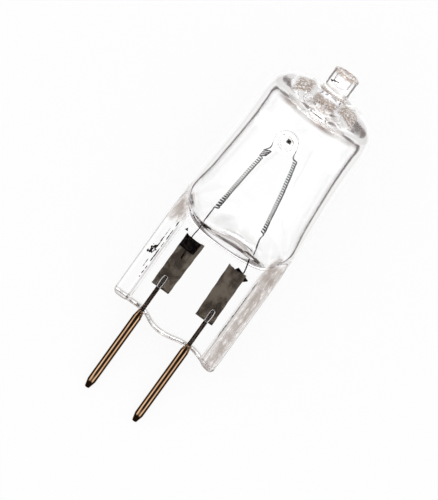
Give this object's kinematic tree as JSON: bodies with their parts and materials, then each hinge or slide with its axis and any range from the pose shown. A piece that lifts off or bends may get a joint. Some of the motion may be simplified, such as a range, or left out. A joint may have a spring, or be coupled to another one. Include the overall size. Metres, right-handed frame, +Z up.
{
  "type": "halogen capsule bulb",
  "caption": "Single-ended halogen capsule bulb with a pinched quartz tube, a coiled filament and contact pins for a standard bi-pin holder.",
  "frame": {"origin": "middle of the box's underside, on the surface that the lamp lies on, in the lamp's own mid plane", "axes": "+X along the lamp from the pins towards the stub, +Y across the two pins, +Z up from the surface"},
  "size_m": [0.0446, 0.0142, 0.015],
  "materials": {
    "quartz": "clear fused quartz, fire polished",
    "tungsten": "drawn grey wire",
    "molybdenum_foil": "thin rolled foil, matt grey-brown",
    "weld_tab": "darkened plate",
    "lead": "drawn wire, dulled by heat",
    "pin": "turned, bronze-coloured, slightly tarnished"
  },
  "bodies": {
    "root": {"envelope": "quartz", "filament": "tungsten", "foil_left": "molybdenum_foil", "foil_right": "molybdenum_foil", "weld_tab_left": "weld_tab", "weld_tab_right": "weld_tab", "outer_lead_left": "lead", "outer_lead_right": "lead", "pin_left": "pin", "pin_right": "pin"}
  },
  "joints": []
}
